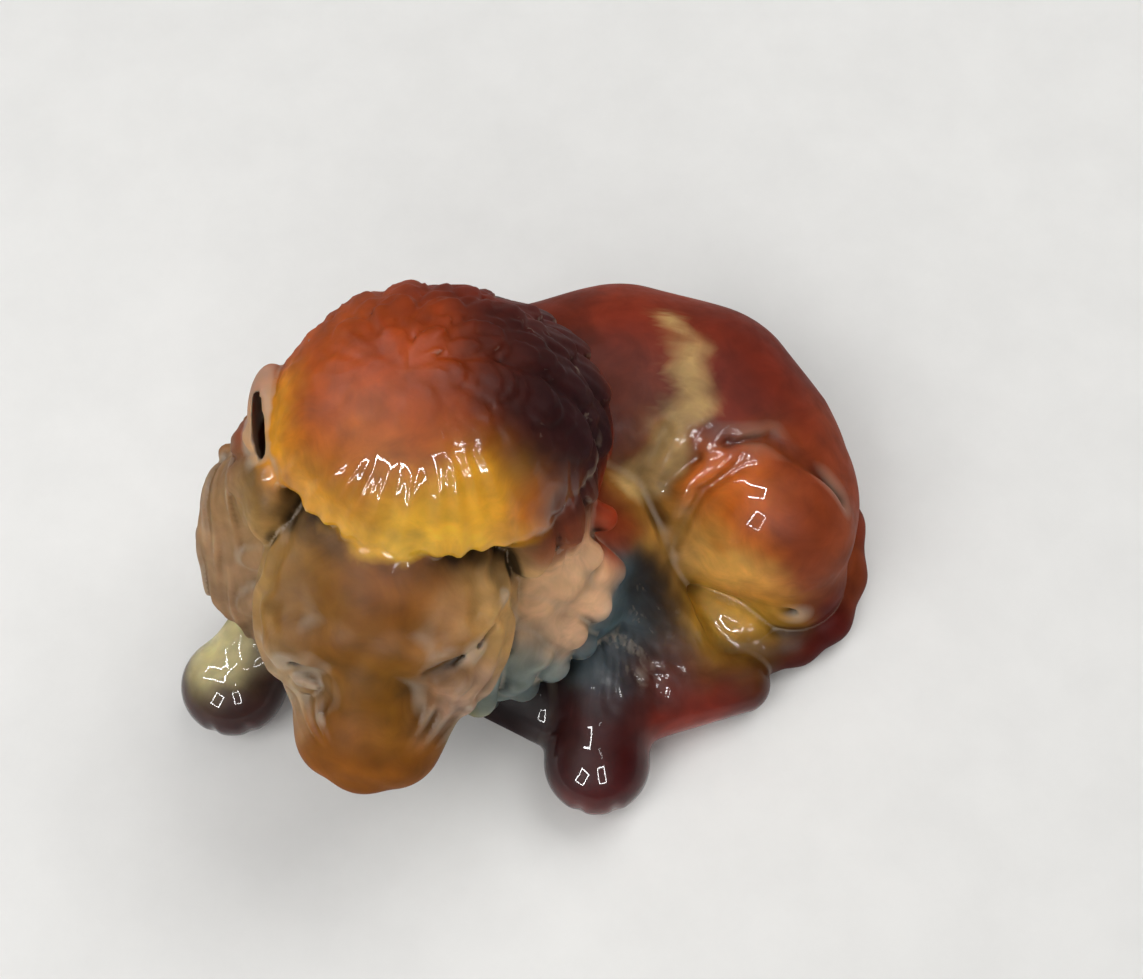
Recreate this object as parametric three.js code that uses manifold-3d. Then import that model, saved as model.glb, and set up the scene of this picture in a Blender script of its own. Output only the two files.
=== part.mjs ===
// A lion of solid cast glass, lying curled with its head raised, about 123 mm long.
// Millimetres, +Z up, the face looks to -Y and the rump lies to +X.
// The whole figure is one casting. Its form is a distance field built from muscle masses and locks of hair,
// and the surface where that distance is zero is drawn as one closed solid.

import * as THREE from "three";
import { MarchingCubes } from "three/addons/objects/MarchingCubes.js";
import { SimplifyModifier } from "three/addons/modifiers/SimplifyModifier.js";
import { mergeVertices } from "three/addons/utils/BufferGeometryUtils.js";
import Module from "manifold-3d";

// Spine: centres of the trunk's cross-sections from the shoulders to the rump, and their radii
const SPINE = [[-2, 3, 22], [17.5, 8.2, 21.3], [30.5, 5, 21.2], [38.6, -4.3, 20.2], [44, -11, 18.5]];
const SPINE_RADII = [21, 20, 19.5, 18.1, 15.6];

// Hind leg, folded against the flank
const THIGH = [43, -15.2, 21.5];
const THIGH_RADII = [15.3, 12.8, 17.6];
const KNEE = [24.2, -15.6, 17.5];
const KNEE_RADIUS = 7.8;
const HEEL = [48.3, -21.2, 12];
const HEEL_RADII = [9.6, 9.6, 10.4];
const HIND_TOES = [30.5, -22.6, 7.2];
const HIND_PAW_RADIUS = 5;
const FAR_THIGH = [33, 15, 13];
const FAR_THIGH_RADII = [15, 12.5, 13.5];
const BELLY_START = [8, -9, 7];
const BELLY_END = [38, -9, 7];
const BELLY_RADIUS = 9;

// Tail, lying along the ground round the haunch
const TAIL_PATH = [[50, -2, 9], [57, -10, 6], [57.2, -19, 5.2], [54.5, -26.5, 4.8],
  [49, -30.8, 4.6], [43, -32.6, 4.4], [37.5, -31, 4.2]];
const TAIL_ROOT_RADIUS = 6;
const TAIL_TIP_RADIUS = 4.2;

// Forelegs: the left one is folded with its elbow out, the right one reaches out
const LEFT_SHOULDER = [10, -16, 24];
const LEFT_ELBOW = [39, -39.6, 6.2];
const LEFT_WRIST = [14, -36, 12];
const LEFT_PAW = [13.4, -54, 7.4];
const RIGHT_SHOULDER = [-24, -12, 19];
const RIGHT_PAW = [-50.4, -40.2, 7.5];
const PAW_RADII = [9.2, 8.9, 8.2];
const TOE_GROOVE = 0.8;
const ARM_STRAND_RELIEF = 0.55;
const ARM_STRANDS_ROUND = 28;

// Chest and the neck under the mane
const CHEST = [-6, -16, 22];
const CHEST_RADII = [24, 24, 25];
const NECK = [-7, -8, 40];
const NECK_RADII = [20, 20, 26];
const NAPE = [-9, -10, 52];
const NAPE_RADII = [23, 19, 20];

// Head: the middle of the head, how far it is turned, and how steeply the face slopes down
const HEAD = [-17.2, -25, 50];
const HEAD_TURN = -10.5;
const FACE_SLOPE = 42;
const HAIRLINE = [12, 15];
const SKULL_RADII = [18, 17, 17];
const MUZZLE_RADII = [11.6, 10.5, 10];
const CHEEK_START = [12, 15, -12];
const CHEEK_END = [7.2, 30, -12.4];
const CHEEK_RADIUS = 7.4;
const CHEEK_HAIR_RELIEF = 0.5;
const FACE_MIDDLE = 1.9;
const FACE_SKEW = 0.26;
const BROW = [[16.6, 10.6, -8.4], [13.6, 13.4, -4], [10.2, 16, -2], [7.4, 17.6, -2.6]];
const BROW_RADII = [0.6, 1.7, 1.6, 0.8];
const EYE_SPACING = 9.8;
const EYE_RADIUS = 3.2;
const NOSE_RADII = [5, 3.4, 3.6];
const EAR_SPACING = 20.6;
const EARS = [
  { side: -1, forward: -8.2, up: 11.4, hollow: [1.9, 6.8, 5] },
  { side: 1, forward: -3.4, up: 11, hollow: [1.4, 3, 3.2] },
];
const EAR_RADII = [3.9, 8.6, 7];
const EAR_YAW = 14;
const TEMPLE = [19.5, -5, 1];
const TEMPLE_RADII = [7.5, 10, 13];
const BROW_SIDE = [-17.4, 1.5, 5.5];
const BROW_SIDE_RADII = [5.4, 8, 10];

// Mane: the cap of hair with its overhanging fringe, the rows of locks below it, and the ruff
const CAP = [-12.8, -15.2, 58];
const CAP_RADII = [24.8, 22.8, 21.5];
const FRINGE_HEIGHT = 64.2;
const FRINGE_FRONT = -37.5;
const FRINGE_SLOPE = 0.14;
const FRINGE_TILT = 0.12;
const CROWN = [-14, -14, 80];
const LOCK_LENGTH = 7.4;
const FIRST_LOCKS_ROUND = 6;
const MORE_LOCKS_EACH_ROW = 4;
const LOCK_RELIEF = 2;
const FLUTES_ROUND = 24;
const FLUTE_DEPTH = 0.35;
const RUFF_RINGS = [
  { radius: 21.5, forward: 8, length: 8, thickness: 4.6, count: 13 },
  { radius: 26.5, forward: 4.6, length: 7.5, thickness: 4.6, count: 15 },
  { radius: 30, forward: 0, length: 7, thickness: 4.6, count: 16 },
  { radius: 31.5, forward: -6.5, length: 7, thickness: 4.2, count: 16 },
];
const RUFF_SPREAD = 112;
const RUFF_DRAWN_IN = 0.5;
const RUFF_TILT = 30;
const RUFF_CENTRE = [-0.5, 0, -8];
const RUFF_SQUARENESS = 0.78;
const BEARD_LOCKS = 7;
const BEARD_ROWS = 3;
const BEARD_START = [-20, -32, 25];
const BEARD_END = [9, -27, 25];
const BEARD_RADIUS = 12;

// How much of the rounded underside is ground away to make the flat foot that it stands on
const GROUND_AWAY = 1.3;

// Drawing of the surface
const GRID = 128;
const GRID_SPAN = 144;
const GRID_CENTRE = [2, -17, 44];
const BLOCK = 4;
const TRIANGLES = 9600;

const vector = ([x, y, z]) => new THREE.Vector3(x, y, z);
const degrees = THREE.MathUtils.degToRad;

// Smooth union of two distances, rounded over a width
function blend(a, b, width) {
  const h = THREE.MathUtils.clamp(0.5 + 0.5 * (b - a) / width, 0, 1);
  return b + (a - b) * h - width * h * (1 - h);
}

// The first distance with the second cut out of it
const carve = (a, b, width) => -blend(-a, b, width);

// Several shapes run together
function blendAll(shapes, p, width) {
  return shapes.map((shape) => shape.at(p)).reduce((sum, distance) => blend(sum, distance, width));
}

// An ellipsoid, turned by yaw, pitch and roll in degrees
class Ball {
  constructor(centre, radii, yaw = 0, pitch = 0, roll = 0) {
    const euler = new THREE.Euler(degrees(pitch), degrees(roll), degrees(yaw), "ZXY");
    const placed = new THREE.Matrix4().makeRotationFromEuler(euler).setPosition(...centre);
    this.inverse = placed.invert();
    this.radii = vector(radii);
    this.local = new THREE.Vector3();
  }

  at(p) {
    const near = this.local.copy(p).applyMatrix4(this.inverse).divide(this.radii);
    const reach = near.length();
    const slope = near.divide(this.radii).length();
    return reach * (reach - 1) / Math.max(slope, 1e-9);
  }
}

// A tapering rod with round ends
class Limb {
  constructor(start, end, startRadius, endRadius) {
    this.start = vector(start);
    this.along = vector(end).sub(this.start);
    this.lengthSquared = this.along.lengthSq();
    this.startRadius = startRadius;
    this.taper = endRadius - startRadius;
    this.local = new THREE.Vector3();
  }

  at(p) {
    const offset = this.local.copy(p).sub(this.start);
    const t = THREE.MathUtils.clamp(offset.dot(this.along) / this.lengthSquared, 0, 1);
    return offset.addScaledVector(this.along, -t).length() - this.startRadius - this.taper * t;
  }
}

// Rods in a row through the points, with a radius at each
function chain(points, radii) {
  return points.slice(1).map((point, i) => new Limb(points[i], point, radii[i], radii[i + 1]));
}

// Height from 0 to 1 of rounded locks that overlap like tiles: row counts along the hair, share round it
function shingles(row, share) {
  let height = 0;
  for (const behind of [0, 1]) {
    const index = Math.floor(row) - behind;
    const along = row - index;
    const column = share * (FIRST_LOCKS_ROUND + MORE_LOCKS_EACH_ROW * index);
    const shifted = column + 0.5 * Math.abs(index % 2) + 0.37 * index;
    const across = 2 * Math.abs(shifted - Math.round(shifted));
    const tip = 1.42 - 0.62 * across ** 2;
    const body = THREE.MathUtils.smoothstep(tip - along, 0, 0.16);
    const swell = 0.3 + 0.7 * Math.min(along, 1.3) / 1.3;
    height = Math.max(height, body * swell * (1 - 0.6 * across ** 3));
  }
  return height;
}

// The point seen from the head: across to the lion's left, forward along the nose, and up
function headFrame() {
  const placed = new THREE.Matrix4().makeRotationZ(degrees(HEAD_TURN)).setPosition(...HEAD);
  const inverse = placed.invert();
  const local = new THREE.Vector3();
  return (p) => {
    local.copy(p).applyMatrix4(inverse);
    local.y = -local.y;
    return local;
  };
}

// The point seen from the face: across, down the face from the hairline, and out of it
function faceFrame() {
  const cos = Math.cos(degrees(FACE_SLOPE));
  const sin = Math.sin(degrees(FACE_SLOPE));
  const local = new THREE.Vector3();
  return (q) => {
    const forward = q.y - HAIRLINE[0];
    const up = q.z - HAIRLINE[1];
    return local.set(q.x, forward * cos - up * sin, forward * sin + up * cos);
  };
}

const mirrored = (p, middle, out) => out.set(Math.abs(p.x - middle), p.y, p.z);

function trunk() {
  const spine = chain(SPINE, SPINE_RADII);
  const belly = new Limb(BELLY_START, BELLY_END, BELLY_RADIUS, BELLY_RADIUS);
  return (p) => blend(blendAll(spine, p, 5), belly.at(p), 3);
}

function hindLeg() {
  const thigh = new Ball(THIGH, THIGH_RADII, -25);
  const knee = new Limb([38, -15.5, 19], KNEE, KNEE_RADIUS + 2.7, KNEE_RADIUS);
  const heel = new Ball(HEEL, HEEL_RADII);
  const shank = new Limb([36, -18, 7], [49, -25, 7], 7.5, 5.5);
  const paw = new Limb(HIND_TOES, [40.5, -28.4, 6.8], HIND_PAW_RADIUS - 0.6, HIND_PAW_RADIUS);
  const farThigh = new Ball(FAR_THIGH, FAR_THIGH_RADII, 15);
  const notch = new Limb([43.5, -31, 17], [48, -28.5, 15.5], 0.5, 0.8);
  const crease = chain(
    [[25, -12, 33], [30, -9, 36], [35, -7, 38], [42, -6.5, 38.4], [48, -9.5, 36.5], [54, -15, 31]],
    [0.4, 0.7, 0.8, 0.8, 0.6, 0.3],
  );
  const folds = [
    ...chain([[19, -24, 24], [23, -17.5, 30], [27, -10.5, 36.5], [31, -5.5, 40]], [0.2, 0.5, 0.5, 0.2]),
    ...chain([[17, -18, 29], [21, -11.5, 34.5], [24.5, -5, 39]], [0.2, 0.5, 0.2]),
    ...chain([[26, -20.5, 24], [31, -14, 34], [37.5, -10.5, 38.5]], [0.2, 0.4, 0.2]),
  ];
  return (body, p) => {
    const leg = blend(blend(thigh.at(p), knee.at(p), 3), heel.at(p), 2.5);
    let out = blend(body, farThigh.at(p), 2.5);
    out = blend(out, leg, 1.6);
    out = carve(out, blendAll(crease, p, 1), 3);
    out = carve(out, blendAll(folds, p, 0.5), 1.6);
    out = carve(out, notch.at(p), 2.2);
    return blend(out, blend(shank.at(p), paw.at(p), 1), 1);
  };
}

function tail() {
  const last = TAIL_PATH.length - 1;
  const radii = TAIL_PATH.map((_, i) => THREE.MathUtils.lerp(TAIL_ROOT_RADIUS, TAIL_TIP_RADIUS, i / last));
  const rods = chain(TAIL_PATH, radii);
  return (p) => blendAll(rods, p, 1.5);
}

// Two grooves between the toes, running over the front of a paw
function toeGrooves(paw, outward) {
  return [-0.33, 0.33].map((share) => {
    const x = paw[0] + share * PAW_RADII[0];
    const y = paw[1] + outward * PAW_RADII[1];
    return new Limb([x, y, 2], [x, y * 0.97 + paw[1] * 0.03, paw[2] + 5], TOE_GROOVE, TOE_GROOVE * 0.6);
  });
}

// Height of the strands that fan down from the shoulder over the folded foreleg
function armHair(p) {
  const { smoothstep } = THREE.MathUtils;
  const [x, y] = [p.x - 9, p.y + 21];
  const bearing = Math.atan2(y, x);
  const reach = Math.hypot(x, y);
  const window = smoothstep(reach, 9, 14) * smoothstep(-reach, -31, -22) * smoothstep(p.z, 5, 9)
    * smoothstep(bearing, -1.55, -1.25) * smoothstep(-bearing, 0.25, 0.6);
  return window * Math.cos(bearing * ARM_STRANDS_ROUND + 0.35 * Math.sin(reach * 0.6));
}

function forelegs() {
  const upper = new Limb(LEFT_SHOULDER, [27, -36, 9], 13, 7);
  const forearm = new Limb(LEFT_ELBOW, [17, -44, 8], 5.2, 7.6);
  const wrist = new Limb(LEFT_WRIST, [13.6, -50, 8.2], 8, 7.8);
  const leftPaw = new Ball(LEFT_PAW, PAW_RADII);
  const rightArm = new Limb(RIGHT_SHOULDER, [-45, -33, 9], 12, 8);
  const rightPaw = new Ball(RIGHT_PAW, PAW_RADII);
  const grooves = [...toeGrooves(LEFT_PAW, -1), ...toeGrooves(RIGHT_PAW, -1)];
  return (p) => {
    const arm = blend(blend(upper.at(p), forearm.at(p), 4), blend(wrist.at(p), leftPaw.at(p), 2.5), 3);
    const left = arm - ARM_STRAND_RELIEF * armHair(p);
    const right = blend(rightArm.at(p), rightPaw.at(p), 3);
    return carve(blend(left, right, 2), blendAll(grooves, p, 0.5), 1.2);
  };
}

function chest() {
  const bulk = new Ball(CHEST, CHEST_RADII);
  const low = new Limb([-20, -28, 9], [5, -43.5, 6], 10, 7);
  const flank = new Limb([14, -22, 8], [35, -31, 4.5], 9, 4.6);
  return (p) => blend(blend(bulk.at(p), low.at(p), 5), flank.at(p), 2);
}

// Height of the ridges of short hair down the cheeks. f is in the face's frame, and s is f mirrored.
function cheekHair(f, s) {
  const { smoothstep } = THREE.MathUtils;
  const side = smoothstep(s.x, 12.2, 15.5) * smoothstep(s.y, -6, 0) * smoothstep(-s.y, -30, -24);
  const about = Math.atan2(s.x, f.z + 22) + 0.05 * Math.sin(0.35 * s.y);
  return side * Math.cos(about * 26);
}

// The face's two halves laid on each other: the eyes stand level although the head is turned
function features(f, out) {
  const across = f.x - FACE_MIDDLE;
  const above = THREE.MathUtils.smoothstep(-f.y, -34, -24);
  return out.set(Math.abs(across), f.y + FACE_SKEW * across * above, f.z);
}

// A closed, drooping brow fold, with a soft hollow and the folds of the lids under it
function eyeAndBrow() {
  const brow = chain(BROW, BROW_RADII);
  const creasePath = [[17.8, 12, -7.6], [14, 15.9, -3.2], [10.4, 18.2, -1.5], [7.6, 19.4, -1.2]];
  const crease = chain(creasePath, [0.2, 0.5, 0.6, 0.4]);
  const hollow = new Ball([EYE_SPACING + 1.2, 20.6, -0.4], [4.8, 3, 1.3], -28);
  const eye = new Ball([EYE_SPACING + 0.8, 20.6, -5.4], [EYE_RADIUS, EYE_RADIUS, EYE_RADIUS]);
  const lid = chain([[15, 17.4, -4.4], [12, 20, -2.9], [9, 21.3, -2.2]], [0.3, 0.7, 0.5]);
  const beside = chain([[7.8, 19.4, -1], [7.2, 23, -1.4], [8, 28, -2.6]], [0.3, 0.5, 0.1]);
  return (head, e) => {
    let out = blend(head, blendAll(brow, e, 1), 1.8);
    out = blend(carve(out, hollow.at(e), 1.6), eye.at(e), 1);
    out = carve(out, blendAll(crease, e, 1), 0.9);
    out = blend(out, blendAll(lid, e, 0.6), 0.8);
    return carve(out, blendAll(beside, e, 0.6), 1);
  };
}

function skull() {
  const side = new THREE.Vector3();
  const half = new THREE.Vector3();
  const masses = [
    [new Ball([0, 19, -7.5], [8, 20, 8.3]), 4],
    [new Ball([12.4, 14, -12.5], [7, 14, 12]), 4],
    [new Limb([4, 14.6, -2.9], [12.4, 17, -4.9], 4, 3.4), 2],
    [new Ball([0, 32, -10], MUZZLE_RADII), 3],
    [new Ball([5, 35.2, -11], [6.4, 6.6, 8.5]), 2],
    [new Ball([0, 28, -22], [8, 8, 6.5]), 2.5],
    [new Limb(CHEEK_START, CHEEK_END, CHEEK_RADIUS, 0.73 * CHEEK_RADIUS), 3],
  ];
  const cranium = new Ball([0, 6, -16], SKULL_RADII);
  const addEye = eyeAndBrow();
  const nose = new Ball([0, 39, -6.2], NOSE_RADII);
  const nostril = new Ball([2.7, 42.2, -7.4], [1.5, 1.6, 1.1]);
  const mouth = chain(
    [[0, 43, -10], [0, 42.2, -14.6], [3.6, 41, -17.6], [7.4, 37, -18.8], [10.2, 30.5, -18]],
    [0.6, 0.7, 0.8, 0.8, 0.6],
  );
  return (f) => {
    const s = mirrored(f, 0, side);
    let head = masses.reduce((sum, [mass, width]) => blend(sum, mass.at(s), width), cranium.at(s));
    head = addEye(head - CHEEK_HAIR_RELIEF * cheekHair(f, s), features(f, half));
    head = carve(blend(head, nose.at(s), 1.2), nostril.at(s), 0.6);
    return carve(head, blendAll(mouth, s, 0.5), 0.9);
  };
}

// Two small ears half under the cap: each a flap with a narrow hollow beside the cap
function ears() {
  const pairs = EARS.map(({ side, forward, up, hollow }) => {
    const flap = new Ball([side * EAR_SPACING, forward, up], EAR_RADII, side * EAR_YAW);
    const hollowMiddle = [side * (EAR_SPACING + 0.8), forward + 1.6, up + 2];
    return [flap, new Ball(hollowMiddle, hollow, side * EAR_YAW)];
  });
  return (mane, q) => pairs.reduce(
    (hair, [flap, hollow]) => carve(blend(hair, flap.at(q), 1), hollow.at(q), 0.6),
    mane,
  );
}

// One ring of the ruff: locks round the face that lean outward and down
function lockRing({ radius, forward, length, thickness, count }) {
  const tilt = degrees(RUFF_TILT);
  return Array.from({ length: count }, (_, i) => {
    const angle = degrees(THREE.MathUtils.lerp(-RUFF_SPREAD, RUFF_SPREAD, i / (count - 1)));
    const down = Math.cos(angle) > 0 ? Math.cos(angle) ** RUFF_SQUARENESS : Math.cos(angle);
    const outward = new THREE.Vector3(Math.sin(angle), down * Math.sin(tilt), -down * Math.cos(tilt));
    const drawnIn = 1 - RUFF_DRAWN_IN * Math.max(Math.abs(angle) / (Math.PI / 2) - 0.85, 0);
    const ringMiddle = vector(RUFF_CENTRE).add(new THREE.Vector3(0, forward, 0));
    const middle = ringMiddle.addScaledVector(outward, radius * drawnIn);
    const lean = outward.clone().add(new THREE.Vector3(0, 0.1, -0.45)).setLength(length / 2);
    const root = middle.clone().sub(lean).toArray();
    const tip = middle.clone().add(lean).toArray();
    return new Limb(root, tip, thickness * 0.85, thickness * 0.62);
  });
}

function ruff() {
  const collar = new Ball([0, 0.5, -8], [29, 10.5, 30], 0, RUFF_TILT, 0);
  const collarBack = new Ball([-0.5, -7, -10], [28.5, 11, 29], 0, RUFF_TILT, 0);
  const rings = RUFF_RINGS.map(lockRing);
  const ringsAt = (q) => {
    const distances = rings.map((locks) => blendAll(locks, q, 3));
    return distances.reduce((sum, ring) => blend(sum, ring, 1));
  };
  return (q) => {
    const base = blend(collar.at(q), collarBack.at(q), 3);
    return base > 12 ? base - 6 : blend(base, ringsAt(q), 1.6);
  };
}

// Rows of short locks under the chin, from the lion's right cheek to its left shoulder
function beard() {
  const back = new Limb(BEARD_START, BEARD_END, BEARD_RADIUS, 0.875 * BEARD_RADIUS);
  const locks = Array.from({ length: BEARD_LOCKS * BEARD_ROWS }, (_, n) => {
    const row = Math.floor(n / BEARD_LOCKS);
    const t = (n % BEARD_LOCKS + 0.5 * (row % 2)) / (BEARD_LOCKS - 0.5);
    const x = BEARD_START[0] - 4 + 39 * t;
    const swing = 14 * Math.max(t - 0.45, 0) / 0.55 - 4.5 * Math.sin(Math.PI * t);
    const y = BEARD_START[1] - BEARD_RADIUS + swing + 2.5 * row;
    const top = BEARD_START[2] + 11 - 6.5 * row;
    return new Limb([x - 0.5, y + 4, top], [x + t - 0.4, y - 0.5, top - 5.5], 4.6, 3);
  });
  return (p) => blend(blendAll(locks, p, 1.6), back.at(p), 3);
}

// The cap of hair, cut away below its fluted fringe so that it overhangs the forehead
function cap() {
  const dome = new Ball(CAP, CAP_RADII);
  return (p, flute) => {
    const rise = FRINGE_SLOPE * (p.y - FRINGE_FRONT) + FRINGE_TILT * (p.x - CAP[0]);
    return carve(dome.at(p), 0.2 * FLUTE_DEPTH * flute + p.z - FRINGE_HEIGHT + rise, 2);
  };
}

function mane() {
  const neck = new Ball(NECK, NECK_RADII, 20, 0, 10);
  const nape = new Ball(NAPE, NAPE_RADII);
  const temple = new Ball(TEMPLE, TEMPLE_RADII);
  const browSide = new Ball(BROW_SIDE, BROW_SIDE_RADII, 8);
  const hairCap = cap();
  const side = new THREE.Vector3();
  const { smoothstep } = THREE.MathUtils;
  return (p, q) => {
    const [x, y, z] = [p.x - CROWN[0], p.y - CROWN[1], p.z - CROWN[2]];
    const fromCrown = Math.hypot(x, y, 0.9 * z);
    const swirl = Math.atan2(y, x) + 0.012 * fromCrown;
    const hair = shingles(fromCrown / LOCK_LENGTH + 0.2, swirl / (2 * Math.PI));
    const head = blend(neck.at(p), nape.at(p), 4);
    const sides = blend(head, temple.at(mirrored(q, 0.5, side)), 3);
    const neckHair = sides - LOCK_RELIEF * hair * smoothstep(p.z, 8, 24);
    const behind = smoothstep(0.8 * p.x + p.y, -32, -12);
    const front = smoothstep(-p.y, 22, 34) * smoothstep(fromCrown, 12, 20);
    const flute = Math.cos(swirl * FLUTES_ROUND + 1.2 * Math.sin(swirl * 7));
    const capHair = (0.5 + behind) * hair * smoothstep(fromCrown, 7, 18) * (1 - front);
    const under = blend(neckHair, browSide.at(q), 3);
    return blend(under, hairCap(p, flute) - capHair - FLUTE_DEPTH * flute * front, 0.8);
  };
}

// The whole figure's distance at a point, less than zero inside the glass
function figure() {
  const [toHead, toFace] = [headFrame(), faceFrame()];
  const [trunkAt, legAt, tailAt, forelegsAt, chestAt] = [trunk(), hindLeg(), tail(), forelegs(), chest()];
  const [skullAt, earsAt, ruffAt, beardAt, maneAt] = [skull(), ears(), ruff(), beard(), mane()];
  return (p) => {
    const q = toHead(p);
    const body = blend(legAt(trunkAt(p), p), tailAt(p), 0.8);
    const front = blend(forelegsAt(p), chestAt(p), 3);
    let hair = blend(maneAt(p, q), ruffAt(q), 1.2);
    hair = blend(earsAt(hair, q), beardAt(p), 1.2);
    const whole = blend(blend(body, front, 2), hair, 1.5);
    return blend(whole, skullAt(toFace(q)), 0.8);
  };
}

// Fills the grid, finely only in the blocks near the surface
function fillGrid(cubes, distance) {
  const cell = GRID_SPAN / GRID;
  const p = new THREE.Vector3();
  const place = (i, axis) => GRID_CENTRE[axis] + (i - GRID / 2) * cell;
  const sample = (i, j, k) => distance(p.set(place(i, 0), place(j, 1), place(k, 2)));
  const store = (i, j, k, value) => {
    const least = 0.02 * cell;
    const kept = Math.abs(value) < least ? Math.sign(value || 1) * least : value;
    cubes.field[i + GRID * (j + GRID * k)] = -kept;
  };
  const far = BLOCK * cell * 2;
  const steps = Array.from({ length: GRID / BLOCK }, (_, i) => i * BLOCK);
  const inner = Array.from({ length: BLOCK }, (_, i) => i);
  for (const k of steps) for (const j of steps) for (const i of steps) {
    const middle = sample(i + BLOCK / 2, j + BLOCK / 2, k + BLOCK / 2);
    for (const c of inner) for (const b of inner) for (const a of inner) {
      const value = Math.abs(middle) > far ? middle : sample(i + a, j + b, k + c);
      store(i + a, j + b, k + c, value);
    }
  }
}

// The surface as an indexed geometry in millimetres
function surface(distance) {
  const cubes = new MarchingCubes(GRID, new THREE.MeshBasicMaterial(), false, false, 400000);
  cubes.isolation = 0;
  fillGrid(cubes, distance);
  cubes.update();
  const geometry = new THREE.BufferGeometry();
  const positions = cubes.positionArray.slice(0, cubes.count * 3);
  geometry.setAttribute("position", new THREE.BufferAttribute(positions, 3));
  const merged = mergeVertices(geometry, 1e-6);
  merged.scale(GRID_SPAN / 2, GRID_SPAN / 2, GRID_SPAN / 2);
  merged.translate(...GRID_CENTRE);
  return merged;
}

function toSolid(wasm, geometry) {
  const vertProperties = new Float32Array(geometry.attributes.position.array);
  const triVerts = new Uint32Array(geometry.index.array);
  return new wasm.Manifold(new wasm.Mesh({ numProp: 3, vertProperties, triVerts }));
}

function toGeometry(solid) {
  const mesh = solid.getMesh();
  const geometry = new THREE.BufferGeometry();
  geometry.setAttribute("position", new THREE.BufferAttribute(mesh.vertProperties, 3));
  geometry.setIndex(new THREE.BufferAttribute(mesh.triVerts, 1));
  return geometry;
}

// The block below the foot, which the underside is cut flat against
function ground() {
  const block = new THREE.BoxGeometry(2 * GRID_SPAN, 2 * GRID_SPAN, GRID_SPAN);
  block.translate(0, 0, GROUND_AWAY - GRID_SPAN / 2);
  block.deleteAttribute("normal");
  block.deleteAttribute("uv");
  return mergeVertices(block);
}

// The largest shell alone, because the glass has no bubbles and no loose crumbs
function outerSkin(solid) {
  return solid.decompose().reduce((largest, shell) => (shell.volume() > largest.volume() ? shell : largest));
}

async function castLion() {
  const wasm = await Module();
  wasm.setup();
  const fine = surface(figure());
  const surplus = Math.ceil((fine.index.count / 3 - TRIANGLES) / 2);
  const coarse = await new SimplifyModifier().modify(fine, surplus);
  const cut = toSolid(wasm, coarse).subtract(toSolid(wasm, ground()));
  const geometry = toGeometry(outerSkin(cut));
  geometry.computeBoundingBox();
  const { min, max } = geometry.boundingBox;
  geometry.translate(-(min.x + max.x) / 2, -(min.y + max.y) / 2, -min.z);
  geometry.computeVertexNormals();
  return geometry;
}

const lion = new THREE.Group();
const glass = new THREE.MeshStandardMaterial({ color: 0x8c3b16, roughness: 0.15, metalness: 0 });
const casting = new THREE.Mesh(await castLion(), glass);
casting.name = "lion";
lion.add(casting);

export default lion;
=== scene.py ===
"""A lion of solid cast glass, amber and burgundy, on a pale floor.

The figure's form is a distance field in millimetres, made of muscle masses and locks of hair. It is
drawn as one fine mesh, which takes the place of the CAD solid. The lion's face looks to -Y and its
rump lies to +X.
"""

import bpy
import numpy as np
import openvdb
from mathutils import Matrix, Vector


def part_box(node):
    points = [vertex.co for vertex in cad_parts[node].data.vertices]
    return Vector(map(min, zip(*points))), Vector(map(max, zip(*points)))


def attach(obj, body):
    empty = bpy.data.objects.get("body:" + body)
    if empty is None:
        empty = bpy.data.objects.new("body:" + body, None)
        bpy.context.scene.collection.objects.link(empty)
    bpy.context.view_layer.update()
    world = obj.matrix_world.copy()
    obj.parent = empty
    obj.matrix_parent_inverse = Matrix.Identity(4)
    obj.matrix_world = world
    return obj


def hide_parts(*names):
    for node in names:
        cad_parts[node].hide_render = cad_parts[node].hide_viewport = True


MM = 0.001

# Drawing of the surface: the grid's cells and corners in millimetres, and how it is worked through
CELL = 0.5
LOW_CORNER = (-64, -70, -2)
HIGH_CORNER = (67, 35, 84)
BLOCK = 8
BLOCKS_AT_ONCE = 400
RELIEF_REACH = 3.6
TRIANGLES = 190000

# How much of the rounded underside is ground away to make the flat foot
GROUND_AWAY = 1.3

# Hind leg: the crease above the thigh, and the folds between the thigh and the waist
THIGH_CREASE = (
    (25, -12, 33), (30, -9, 36), (35, -7, 38), (42, -6.5, 38.4), (48, -9.5, 36.5), (54, -15, 31),
)
CREASE_RADIUS = -0.4
CREASE_WIDTH = 4
WAIST_FOLDS = (
    (((19, -24, 24), (23, -17.5, 30), (27, -10.5, 36.5), (31, -5.5, 40)), (0, 0.2, 0.2, 0)),
    (((17, -18, 29), (21, -11.5, 34.5), (24.5, -5, 39)), (0, 0.2, 0)),
    (((26, -20.5, 24), (31, -14, 34), (37.5, -10.5, 38.5)), (0, 0.1, 0)),
)
FOLD_WIDTH = 3

# Tail: its path along the floor, and its radius at the root and the tip
TAIL = (
    (50, -2, 9), (57, -10, 6), (57.2, -19, 5.2), (54.5, -26.5, 4.8), (49, -30.8, 4.6), (43, -32.6, 4.4),
    (37.5, -31, 4.2),
)
TAIL_RADII = (6, 4.2)

# Head: its middle, how far it is turned, how steeply the face slopes down, and where it starts
HEAD = (-17.2, -25, 50)
HEAD_TURN = -10.5
FACE_SLOPE = 42
HAIRLINE = (12, 15)
FACE_MIDDLE = 1.9
FACE_SKEW = 0.26
EYE_SPACING = 9.8
EYE_RADIUS = 3.2

# Ears: the side, how far forward and up each stands, and its hollow's radii
EARS = ((-1, -8.2, 11.4, (1.6, 6.4, 4.6)), (1, -3.4, 11, (1.4, 3, 3.2)))
EAR_SPACING = 20.6
EAR_RADII = (3.9, 8.6, 7)
EAR_YAW = 14

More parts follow.
